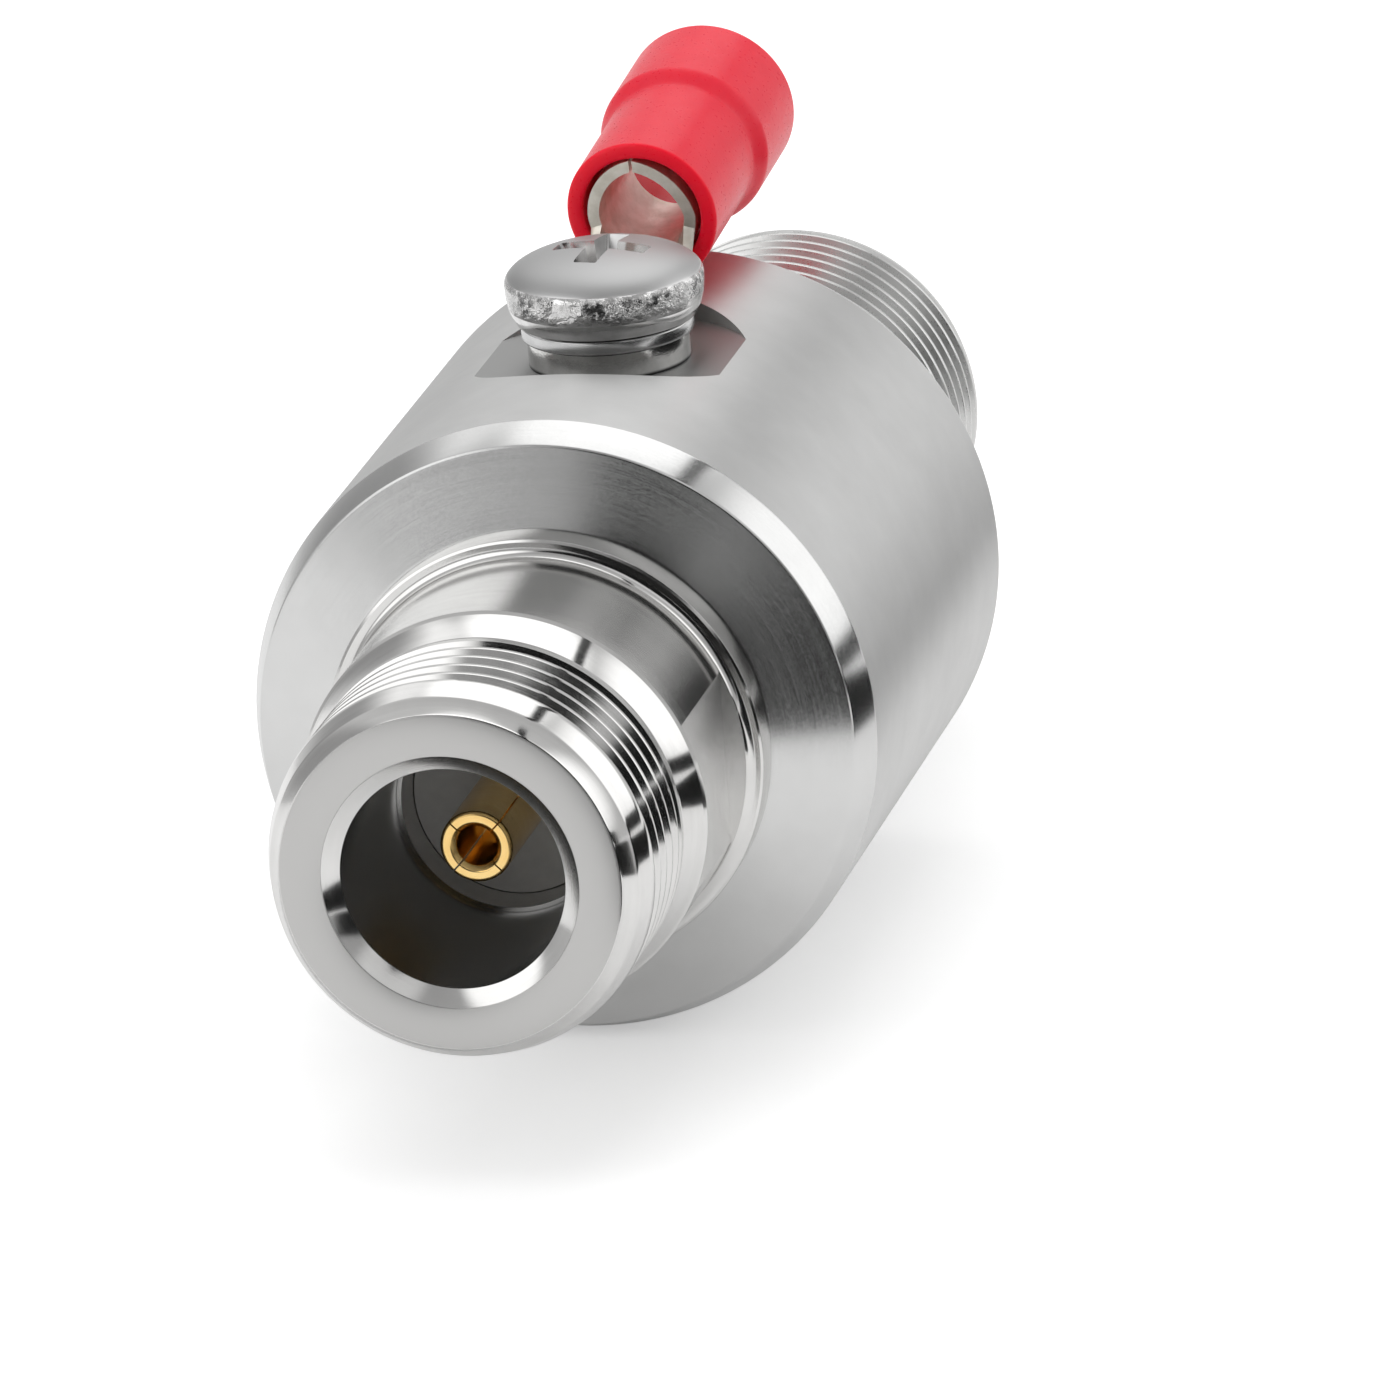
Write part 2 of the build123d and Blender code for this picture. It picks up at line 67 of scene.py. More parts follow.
# Sizes, in millimetres
BODY_R = 13.15
BODY_HALF = 13.65
SEAT_Y = 14.35
EDGE_DROP, EDGE_LENGTH, BODY_ROUND = 0.6, 1.6, 0.12
WEB_HALF, LINE_R, TAIL_BORE_R = 5.45, 7.0, 8.55
POCKET_R, POCKET_FLOOR, POCKET_TOP = 3.1, 11.3, -3.5
SEAT_FLOOR, SEAT_R, SEAT_CUT_TOP = 12.06, 5.8, 20
SCREW_HOLE_R, SCREW_HOLE_DEPTH, HOLE_OVERRUN = 2.02, 4.4, 0.5

THREAD_R, FACE_R = 7.94, 7.07
NOSE_LENGTH = 1.9
BEVEL_R, BEVEL_LENGTH = 7.6, 0.75
BAND_R, BAND_LENGTH = 7.915, 1.72
PITCH, THREAD_DEPTH = 1.058, 0.52
CREST_SHARE, ROOT_SHARE = 0.24, 0.18
THREAD_RUN_IN, THREAD_RUN_OUT = 0.35, 0.25
FACE_EDGE = 0.13
RELIEF_LENGTH = 0.4
CONE_R, CONE_LENGTH = 8.38, 1.7
NECK_R, NECK_LENGTH, NECK_FILLET = 8.5, 7.25, 0.4
BOSS_R, BOSS_LENGTH, BOSS_EDGE = 9.2, 1.45, 0.12
FLAT_X, FLAT_END_GAP = 7.7, 0.25
PORT_R, PORT_MOUTH_R, PORT_MOUTH_DEPTH, PORT_DEPTH = 4.62, 5.36, 0.5, 9.7
STEP_R, STEP_DEPTH, INSULATOR_R = 4.42, 10.9, 4.2
SHOULDER_DEPTH, FLANGE_R, INSULATOR_END, BUSH_R = 14.5, 5.0, 17.0, 6.0
TAIL_R, TAIL_GAP, TAIL_CHAMFER = 8.5, 0.1, 0.5
GROOVE_START, GROOVE_WIDTH, GROOVE_DEPTH = 0.6, 1.2, 1.0

# Ports: place of the face on Y, way into the body, end of the thread, turn of the thread
FRONT = (-31.95, 1, 6.8, 1)
REAR = (34.05, -1, 8.9, -1)

SEGMENTS = 256
CONTACT_SEGMENTS, SEAT_SEGMENTS, HOLE_SEGMENTS, POCKET_SEGMENTS, SCREW_SEGMENTS = 128, 192, 64, 96, 192
# A lathe outline ends this close to its axis, so that its last ring stays a ring
AXIS_R = 0.0001
# Corners that turn by less than this many degrees stay; a round takes at most this share of a side
LEAST_CORNER, MOST_OF_SIDE = 9, 0.42


# Mesh helpers
def soften(points, cut, steps=3):
    """Closed outline with each sharp corner traded for a small round, which takes the length cut."""
    out = []
    count = len(points)
    for i in range(count):
        before, here, after = (Vector(points[k % count]) for k in (i - 1, i, i + 1))
        back, on = before - here, after - here
        if back.length < 1e-9 or on.length < 1e-9:
            continue
        bend = pi - back.angle(on)
        if bend < radians(LEAST_CORNER):
            out.append(tuple(here))
            continue
        reach = min(cut, back.length * MOST_OF_SIDE, on.length * MOST_OF_SIDE)
        start, end = here + back.normalized() * reach, here + on.normalized() * reach
        for k in range(steps + 1):
            t = k / steps
            out.append(tuple(start * (1 - t) ** 2 + here * 2 * t * (1 - t) + end * t ** 2))
    return out


def arc(centre, radius_a, radius_b, start, end, steps):
    """Points of an ellipse's arc, angles in degrees."""
    angles = [radians(start + (end - start) * k / steps) for k in range(steps + 1)]
    return [(centre[0] + radius_a * cos(a), centre[1] + radius_b * sin(a)) for a in angles]


def grid_mesh(name, rows):
    """Mesh from rings of points in millimetres, all of the same count; the last joins the first."""
    mesh = bmesh.new()
    rings = [[mesh.verts.new(Vector(p) * MM) for p in row] for row in rows]
    for low, high in zip(rings, rings[1:] + rings[:1]):
        for i in range(len(low)):
            k = (i + 1) % len(low)
            mesh.faces.new((low[i], low[k], high[k], high[i]))
    bmesh.ops.remove_doubles(mesh, verts=mesh.verts, dist=1e-8)
    bmesh.ops.recalc_face_normals(mesh, faces=mesh.faces)
    return finish_mesh(name, mesh)


def finish_mesh(name, mesh):
    """Object in the scene from a mesh that is being edited."""
    data = bpy.data.meshes.new(name)
    mesh.to_mesh(data)
    mesh.free()
    piece = bpy.data.objects.new(name, data)
    scene.collection.objects.link(piece)
    return piece


def turned(name, outline, segments=SEGMENTS, axis="Y"):
    """Lathe piece from an outline of (radius, place along the axis)."""
    rows = []
    for radius, along in outline:
        ring = []
        for i in range(segments):
            angle = 2 * pi * i / segments
            a, b = radius * cos(angle), radius * sin(angle)
            ring.append((a, along, b) if axis == "Y" else (a, b, along))
        rows.append(ring)
    return grid_mesh(name, rows)


def carve(piece, cutters):
    """Cut each cutter out of the piece and remove the cutters."""
    for cutter in cutters:
        step = piece.modifiers.new("carve", "BOOLEAN")
        step.operation = "DIFFERENCE"
        step.solver = "EXACT"
        step.object = cutter
    bpy.context.view_layer.update()
    done = bpy.data.meshes.new_from_object(piece.evaluated_get(bpy.context.evaluated_depsgraph_get()))
    piece.modifiers.clear()
    piece.data = done
    for cutter in cutters:
        bpy.data.objects.remove(cutter)


def shade(piece, angle):
    """Smooth faces with sharp edges where the surface turns by more than the angle."""
    for face in piece.data.polygons:
        face.use_smooth = True
    piece.data.set_sharp_from_angle(angle=radians(angle))
    step = piece.modifiers.new("normals", "WEIGHTED_NORMAL")
    step.mode = "FACE_AREA"
    step.keep_sharp = True


def place(piece, node, look, angle):
    """Give the piece its look and let it stand in for a node of the model."""
    piece.data.materials.clear()
    piece.data.materials.append(look)
    shade(piece, angle)
    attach(piece, "root")
    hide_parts(node)


# Ground screw: sizes that its look needs too
HEAD_BASE = 13.91
HEAD_R, HEAD_FOOT_R, HEAD_FOOT, HEAD_SIDE, HEAD_CROWN = 4.17, 3.8, 0.85, 0.8, 1.45
CROWN_START = HEAD_BASE + HEAD_FOOT + HEAD_SIDE
CRUST_START, CRUST_HEIGHT = HEAD_BASE + 0.7, 0.42

# Terminal: top of its flat ring, near end of its barrel, and the barrel's directions
RING_TOP = 13.16
LUG_SWIVEL, LUG_TILT = radians(2.8), radians(8.0)
BARREL_REACH, BARREL_HEIGHT = 5.9, 16.5
BARREL_AT = Vector((BARREL_REACH * sin(LUG_SWIVEL), BARREL_REACH * cos(LUG_SWIVEL), BARREL_HEIGHT))
BARREL_AXIS = Vector((sin(LUG_SWIVEL) * cos(LUG_TILT), cos(LUG_SWIVEL) * cos(LUG_TILT), sin(LUG_TILT)))
BARREL_SIDE = Vector((cos(LUG_SWIVEL), -sin(LUG_SWIVEL), 0.0))
BARREL_UP = BARREL_SIDE.cross(BARREL_AXIS)


# Materials
class Nodes:
    """Short way to write a node tree: add a node, set its sockets, link what is a socket."""

    def __init__(self, owner, shader="Principled BSDF"):
        owner.use_nodes = True
        self.owner = owner
        self.tree = owner.node_tree
        self.shader = self.tree.nodes[shader]

    def add(self, kind, settings=None, **sockets):
        node = self.tree.nodes.new("ShaderNode" + kind)
        for key, value in (settings or {}).items():
            setattr(node, key, value)
        for key, value in sockets.items():
            self.put(node.inputs[key.replace("_", " ")], value)
        return node

    def put(self, socket, value):
        """Link a socket to the socket, or set its value."""
        if isinstance(value, bpy.types.NodeSocket):
            self.tree.links.new(value, socket)
        else:
            socket.default_value = value

    def math(self, operation, a, b=0.0):
        node = self.tree.nodes.new("ShaderNodeMath")
        node.operation = operation
        for socket, value in zip(node.inputs, (a, b)):
            self.put(socket, value)
        return node.outputs[0]

    def vector(self, x, y, z):
        """Vector from three numbers or sockets."""
        return self.add("CombineXYZ", X=x, Y=y, Z=z).outputs[0]

    def noise(self, vector, scale, detail=2.0, roughness=0.5):
        node = self.add("TexNoise", Vector=vector, Scale=scale, Detail=detail, Roughness=roughness)
        return node.outputs["Fac"]

    def remap(self, value, low, high, to_low, to_high):
        node = self.add("MapRange", Value=value)
        for key, number in (("From Min", low), ("From Max", high), ("To Min", to_low), ("To Max", to_high)):
            node.inputs[key].default_value = number
        return node.outputs["Result"]

    def blend(self, share, a, b):
        """Colour between a and b."""
        node = self.add("Mix", {"data_type": "RGBA"})
        self.put(node.inputs["Factor"], share)
        self.put(node.inputs[6], a)
        self.put(node.inputs[7], b)
        return node.outputs[2]

    def axes(self):
        """Object coordinates in millimetres: the vector and its three parts."""
        place = self.add("TexCoord").outputs["Object"]
        scaled = self.add("VectorMath", {"operation": "SCALE"}, Vector=place)
        scaled.inputs["Scale"].default_value = 1 / MM
        parts = self.add("SeparateXYZ", Vector=scaled.outputs[0])
        return scaled.outputs[0], parts.outputs[0], parts.outputs[1], parts.outputs[2]

    def facing(self):
        """Way that the surface faces in the frame of the object, as three sockets."""
        parts = self.add("SeparateXYZ", Vector=self.add("TexCoord").outputs["Normal"])
        return parts.outputs[0], parts.outputs[1], parts.outputs[2]

    def mix(self, share, a, b):
        """Number between a and b."""
        node = self.add("Mix")
        self.put(node.inputs["Factor"], share)
        self.put(node.inputs["A"], a)
        self.put(node.inputs["B"], b)
        return node.outputs["Result"]

    def bump(self, height, distance, normal=None):
        node = self.add("Bump", Height=height, Distance=distance)
        if normal is not None:
            self.put(node.inputs["Normal"], normal)
        return node.outputs["Normal"]

    def set(self, **sockets):
        for key, value in sockets.items():
            self.put(self.shader.inputs[key.replace("_", " ")], value)


# The shader spreads highlights along the tangent; a quarter turn spreads them across the lines
ACROSS_LINES = 0.25
# Turning lines: how often they change over a millimetre
FINE_LINES, BROAD_LINES = 16.0, 2.6
# Least and most share of the roughness asked for
LEAST_ROUGH, MOST_ROUGH = 0.85, 1.175
# A surface counts as one of the special ones below when it lies this near to its place
FACE_SKIN = 0.03
FACE_ROUGH, FACE_SHADE = 0.3, 0.8
SIDE_ROUGH, SIDE_LINES = 0.5, 0.12
BORE_ROUGH, BORE_SHADE = 0.24, 0.5
SEAT_ROUGH, SEAT_SHADE = 0.5, 0.62
FLAT_ROUGH, MILLED_HEIGHT, SQUARE_ON = 0.26, 6.0, 0.98


def turned_metal(
    name, colour, dark, rough, line_height, brushed=0.0, axis="Y", speckle=0.3,
    faces=None, side=None, flat=None, bore=None
):
    """Plated metal with fine turning lines round its axis and light stains.

    The two places in faces bound the rougher end faces, which are painted darker as shade; side is the half
    length of the matt side and the height of the milled seat, whose floor is painted darker as shade; flat
    is the distance of the milled flats from the axis; bore is the radius of the bore, whose wall is painted
    dark as shade. A brushed metal turns round Y.
    """
    m = Nodes(bpy.data.materials.new(name))
    place_mm, x, y, z = m.axes()
    a, along = (z, y) if axis == "Y" else (y, z)
    radius = m.math("SQRT", m.math("ADD", m.math("MULTIPLY", x, x), m.math("MULTIPLY", a, a)))
    turn = m.math("ARCTAN2", a, x)
    # Turning lines: long round the axis, narrow across it
    rings = []
    for often, detail in ((FINE_LINES, 3.0), (BROAD_LINES, 2.0)):
        spot = m.vector(m.math("MULTIPLY", radius, often), m.math("MULTIPLY", along, often), turn)
        rings.append(m.noise(spot, 1.0, detail))
    fine, broad = rings
    stain = m.noise(place_mm, 0.35, 4.0, 0.6)
    grain = m.noise(place_mm, 9.0, 2.0)
    speck = m.noise(place_mm, 28.0, 2.0)
    tone = stain if side else m.math("ADD", m.math("MULTIPLY", stain, 0.6), m.math("MULTIPLY", broad, 0.4))
    spread = 0.35 if side else 0.12
    base = m.blend(m.remap(tone, 0.5 - spread, 0.5 + spread, 0.0, 1.0), (*dark, 1), (*colour, 1))
    worn = m.math("ADD", m.math("MULTIPLY", fine, 0.5), m.math("MULTIPLY", grain, 0.5))
    roughness = m.remap(worn, 0.35, 0.65, rough * LEAST_ROUGH, rough * MOST_ROUGH)
    if faces:
        low, high = faces
        on_face = m.math("ADD", m.math("LESS_THAN", y, low), m.math("GREATER_THAN", y, high))
        roughness = m.mix(on_face, roughness, FACE_ROUGH)
        # Painted shade: the end faces are painted darker than the rest of the metal
        base = m.blend(on_face, base, (*[c * FACE_SHADE for c in dark], 1))
    if side:
        half_length, seat_height = side
        on_side = m.math("LESS_THAN", m.math("ABSOLUTE", y), half_length)
        roughness = m.mix(on_side, roughness, SIDE_ROUGH)
        level = m.math("LESS_THAN", m.math("ABSOLUTE", m.math("SUBTRACT", z, seat_height)), FACE_SKIN)
        facing_up = m.math("GREATER_THAN", m.facing()[2], SQUARE_ON)
        on_seat = m.math("MULTIPLY", level, facing_up)
        roughness = m.mix(on_seat, roughness, SEAT_ROUGH)
        # Painted shade: the seat's floor is painted darker, as shade in the recess under the terminal
        base = m.blend(on_seat, base, (*[c * SEAT_SHADE for c in dark], 1))
    if bore:
        in_bore = m.math("LESS_THAN", m.math("ABSOLUTE", m.math("SUBTRACT", radius, bore)), FACE_SKIN)
        # Painted shade: the bore's wall is painted dark, as shade inside the bore
        base = m.blend(in_bore, base, (*[c * BORE_SHADE for c in dark], 1))
        roughness = m.mix(in_bore, roughness, BORE_ROUGH)
    lines = m.math("ADD", fine, m.math("MULTIPLY", speck, speckle))
    if side:
        lines = m.mix(on_side, lines, m.math("MULTIPLY", lines, SIDE_LINES))
    if flat:
        off_plane = m.math("SUBTRACT", m.math("ABSOLUTE", x), flat)
        on_plane = m.math("LESS_THAN", m.math("ABSOLUTE", off_plane), FACE_SKIN)
        sideways = m.math("ABSOLUTE", m.facing()[0])
        on_flat = m.math("MULTIPLY", on_plane, m.math("GREATER_THAN", sideways, SQUARE_ON))
        milled = m.noise(m.vector(0.0, m.math("MULTIPLY", y, 9.0), m.math("MULTIPLY", z, 0.5)), 1.0, 3.0)
        lines = m.mix(on_flat, lines, m.math("MULTIPLY", milled, MILLED_HEIGHT))
        roughness = m.mix(on_flat, roughness, FLAT_ROUGH)
    m.set(Base_Color=base, Roughness=roughness, Metallic=1.0)
    if brushed:
        m.set(Anisotropic=brushed, Anisotropic_Rotation=ACROSS_LINES)
        tangent = m.vector(m.math("MULTIPLY", z, -1.0), 0.0, x)
        m.set(Tangent=m.add("VectorMath", {"operation": "NORMALIZE"}, Vector=tangent).outputs[0])
    m.set(Normal=m.bump(lines, line_height * MM))
    return m.owner


def plain_look(name, first, second, clouds, rough, grain, height):
    """Dull look between two colours; clouds and grain each hold a noise's scale and detail."""
    m = Nodes(bpy.data.materials.new(name))
    place_mm = m.axes()[0]
    m.set(Base_Color=m.blend(m.noise(place_mm, *clouds), (*first, 1), (*second, 1)))
    m.set(Roughness=rough, Normal=m.bump(m.noise(place_mm, *grain), height * MM))
    return m.owner


satin_nickel = turned_metal(
    "satin_nickel", (0.70, 0.70, 0.695), (0.62, 0.62, 0.615), 0.19, 0.0004, 0.75, speckle=0.05,
    side=(BODY_HALF - EDGE_LENGTH, SEAT_FLOOR)
)
bright_nickel = turned_metal(
    "bright_nickel", (0.73, 0.725, 0.715), (0.67, 0.665, 0.655), 0.12, 0.0005, 0.6, speckle=0.05,
    faces=(FRONT[0] + FACE_SKIN, REAR[0] - FACE_SKIN), flat=FLAT_X, bore=PORT_R
)
dull_nickel = turned_metal(
    "dull_nickel", (0.73, 0.73, 0.72), (0.67, 0.67, 0.66), 0.3, 0.0006, 0.6, speckle=0.05,
    faces=(FRONT[0] + FACE_SKIN, REAR[0] - FACE_SKIN), flat=FLAT_X, bore=PORT_R
)
gold = turned_metal("gold_plate", (0.97, 0.70, 0.30), (0.90, 0.60, 0.22), 0.2, 0.0008, 0.2)
brass = turned_metal("brass", (0.82, 0.62, 0.28), (0.72, 0.52, 0.2), 0.3, 0.0012)
steel = turned_metal("spring_steel", (0.68, 0.68, 0.68), (0.5, 0.5, 0.5), 0.22, 0.0012, 0.0, "Z", 0.8)
rubber = plain_look(
    "black_rubber", (0.012, 0.012, 0.013), (0.0192, 0.0192, 0.0208), (3.0, 2.0), 0.55, (20.0, 2.0), 0.002
)
fluoroplastic = plain_look(
    "fluoroplastic", (0.60, 0.60, 0.59), (0.70, 0.70, 0.69), (2.0, 4.0), 0.5, (12.0, 3.0), 0.002
)
ceramic = plain_look(
    "ceramic", (0.78, 0.77, 0.74), (0.84, 0.83, 0.80), (4.0, 3.0), 0.6, (30.0, 2.0), 0.001
)


def tin_look():
    """Tinned copper of the lug: bright on the ring, dull and yellowish on the barrel."""
    m = Nodes(bpy.data.materials.new("tin_plate"))
    place_mm, x, y, z = m.axes()
    on_ring = m.remap(z, RING_TOP + 0.1, RING_TOP + 0.6, 1.0, 0.0)
    stain = m.remap(m.noise(place_mm, 1.2, 4.0, 0.6), 0.35, 0.65, 0.0, 1.0)
    barrel = m.blend(stain, (0.76, 0.72, 0.63, 1), (0.93, 0.89, 0.81, 1))
    ring = m.blend(stain, (0.60, 0.595, 0.58, 1), (0.74, 0.735, 0.72, 1))
    # Painted shade: a dark line painted at the ring's foot, in the corner between the ring and the seat
    foot_shade = m.remap(z, SEAT_FLOOR + 0.06, SEAT_FLOOR + 0.17, 1.0, 0.0)
    ring = m.blend(foot_shade, ring, (0.03, 0.03, 0.03, 1))
    m.set(Base_Color=m.blend(on_ring, barrel, ring), Metallic=1.0)
    grain = m.noise(place_mm, 9.0, 3.0)
    m.set(Roughness=m.mix(on_ring, m.remap(grain, 0.35, 0.65, 0.38, 0.50), 0.14))
    m.set(Normal=m.bump(grain, 0.005 * MM))
    return m.owner


def sleeve_look():
    """Soft red vinyl that lets some light through."""
    m = Nodes(bpy.data.materials.new("red_vinyl"))
    place_mm = m.axes()[0]
    tone = m.noise(place_mm, 0.8, 4.0, 0.6)
    outside = m.blend(m.remap(tone, 0.3, 0.7, 0.0, 1.0), (0.78, 0.018, 0.045, 1), (0.82, 0.028, 0.055, 1))
    # Painted light: the cut end is painted a deeper red than the side, standing in for the pale sheen that
    # the side shows
    from_end = m.add("VectorMath", {"operation": "SUBTRACT"}, Vector=place_mm)
    from_end.inputs[1].default_value = BARREL_AT
    along = m.add("VectorMath", {"operation": "DOT_PRODUCT"}, Vector=from_end.outputs[0])
    along.inputs[1].default_value = BARREL_AXIS
    at_end = m.remap(along.outputs["Value"], 0.05, 0.2, 1.0, 0.0)
    m.set(Base_Color=m.blend(at_end, outside, (0.92, 0.006, 0.03, 1)))
    m.set(Roughness=m.remap(m.noise(place_mm, 6.0, 3.0), 0.3, 0.7, 0.26, 0.38))
    m.set(Subsurface_Weight=0.5, Subsurface_Radius=(1.0, 0.25, 0.2), Subsurface_Scale=0.0009, IOR=1.45)
    m.set(Specular_IOR_Level=0.35)
    m.set(Normal=m.bump(m.noise(place_mm, 5.0, 3.0), 0.006 * MM))
    return m.owner


def screw_look():
    """Zinc plate: dull on the crown, crusted in a band under it with painted shade in the hollows of the
    crust, smooth further down.
    """
    m = Nodes(bpy.data.materials.new("zinc_plate"))
    place_mm, x, y, z = m.axes()
    upward = m.facing()[2]
    high = m.remap(z, CROWN_START, CROWN_START + 0.4, 0.0, 1.0)
    crown = m.math("MULTIPLY", high, m.remap(upward, 0.35, 0.6, 0.0, 1.0))
    above_foot = m.remap(z, CRUST_START, CRUST_START + 0.35, 0.0, 1.0)
    below_crown = m.remap(z, CROWN_START + 0.05, CROWN_START + 0.3, 1.0, 0.0)
    patches = m.remap(m.noise(place_mm, 0.55, 2.0), 0.40, 0.55, 0.25, 1.0)
    crust = m.math("MULTIPLY", m.math("MULTIPLY", above_foot, below_crown), patches)
    crystals = m.noise(place_mm, 2.8, 3.0, 0.6)
    grain = m.noise(place_mm, 26.0, 2.0)
    stain = m.remap(m.noise(place_mm, 1.6, 3.0), 0.35, 0.65, 0.0, 1.0)
    plain = m.blend(stain, (0.62, 0.615, 0.61, 1), (0.76, 0.755, 0.75, 1))
    # Painted shade: the hollows of the crust are painted dark in some places
    shade_patches = m.remap(m.noise(place_mm, 0.33, 2.0), 0.44, 0.54, 0.12, 1.0)
    pit_shade = m.math("MULTIPLY", crust, m.remap(crystals, 0.42, 0.56, 1.0, 0.0))
    pit_shaded = m.blend(m.math("MULTIPLY", pit_shade, shade_patches), plain, (0.07, 0.07, 0.07, 1))
    m.set(Base_Color=m.blend(crown, pit_shaded, (0.50, 0.50, 0.50, 1)), Metallic=1.0)
    m.set(Roughness=m.mix(crown, m.remap(grain, 0.35, 0.65, 0.08, 0.15), 0.46))
    crusted = m.bump(m.math("MULTIPLY", crystals, crust), CRUST_HEIGHT * MM)
    m.set(Normal=m.bump(grain, 0.0015 * MM, normal=crusted))
    return m.owner


zinc = screw_look()
tin = tin_look()
vinyl = sleeve_look()
looks = {
    "satin_plate": satin_nickel, "bright_plate": bright_nickel, "gold": gold, "bare_brass": brass,
    "white_insulator": fluoroplastic, "black_rubber": rubber, "white_ceramic": ceramic,
    "electrode_metal": steel, "spring_steel": steel, "zinc_screw": zinc, "tinned_copper": tin,
    "red_sleeve": vinyl,
}
for name, node in frame["nodes"].items():
    node.data.materials.clear()
    node.data.materials.append(looks[slots[name]])


# Connectors
def thread_profile():
    """One pitch of the thread as (share of the pitch, share of the depth), with rounded corners."""
    flank = (1 - CREST_SHARE - ROOT_SHARE) / 2
    crest_end, root_start = CREST_SHARE, CREST_SHARE + flank
    root_end = root_start + ROOT_SHARE
    soft, crest_edge, root_edge = 0.05, 0.05, 0.92
    return [
        (0.0, crest_edge), (soft, 0.0), (crest_end - soft, 0.0), (crest_end, crest_edge),
        (root_start - soft / 2, root_edge), (root_start + soft, 1.0),
        (root_end - soft, 1.0), (root_end + soft / 2, root_edge),
    ]


def thread_columns(thread_end, sense):
    """Points of the thread for every angle: each row follows the helix and stops at both ends."""
    profile = thread_profile()
    turns = int((thread_end - NOSE_LENGTH) / PITCH) + 4
    columns = []
    for i in range(SEGMENTS):
        turn = i / SEGMENTS
        column = []
        for k in range(turns):
            for share, cut in profile:
                along = NOSE_LENGTH + (k - 1 + share - sense * turn) * PITCH
                along = max(NOSE_LENGTH, min(thread_end, along))
                run_in = (along - NOSE_LENGTH) / THREAD_RUN_IN
                fade = min(1.0, run_in, (thread_end - along) / THREAD_RUN_OUT)
                column.append((THREAD_R - THREAD_DEPTH * cut * fade, along))
        columns.append(column)
    return columns, len(profile)


